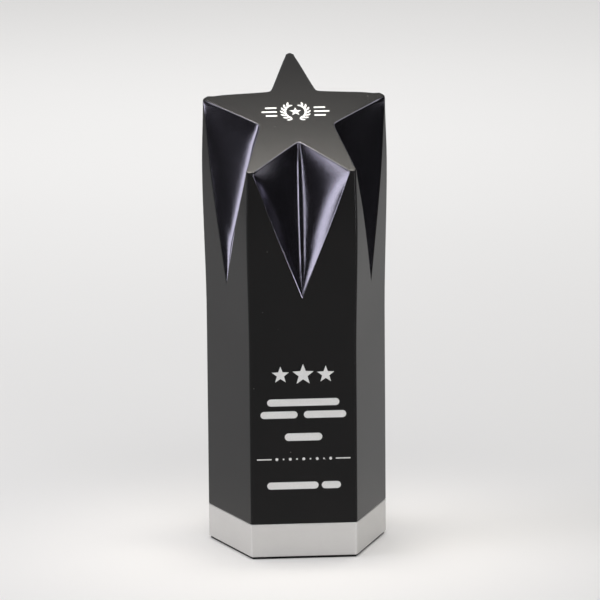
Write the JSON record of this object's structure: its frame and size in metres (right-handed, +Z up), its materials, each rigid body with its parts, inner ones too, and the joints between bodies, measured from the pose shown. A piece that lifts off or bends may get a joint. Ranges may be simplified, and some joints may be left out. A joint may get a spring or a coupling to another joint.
{
  "type": "star trophy",
  "caption": "Matte black pentagonal column with a slanted star top, dished scoops between the star's points, and a flush aluminium base on a soft pad.",
  "frame": {"origin": "middle of the resting face, on the upright line that the star's points radiate from", "axes": "+Z up, +Y to the back point of the star, so the printed front face looks along -Y"},
  "size_m": [0.0774, 0.0644, 0.2032],
  "materials": {
    "cast_resin": "filled cast resin, sprayed matte black, with glossy gunmetal lacquer in the scoops",
    "satin_aluminium": "milled and satin blasted",
    "soft_pad": "die-cut black foam rubber with adhesive back",
    "zinc_steel": "cold-headed and zinc plated",
    "spring_steel": "coiled spring steel, zinc plated",
    "insert_brass": "turned",
    "ground_steel": "centreless ground",
    "white_ink": "screen-printed white ink"
  },
  "bodies": {
    "root": {"star_column": "cast_resin", "base_block": "satin_aluminium", "base_pad": "soft_pad", "base_screws": "zinc_steel", "lock_washers": "spring_steel", "threaded_inserts": "insert_brass", "dowel_pins": "ground_steel", "star_print": "white_ink", "panel_print": "white_ink"}
  },
  "joints": []
}
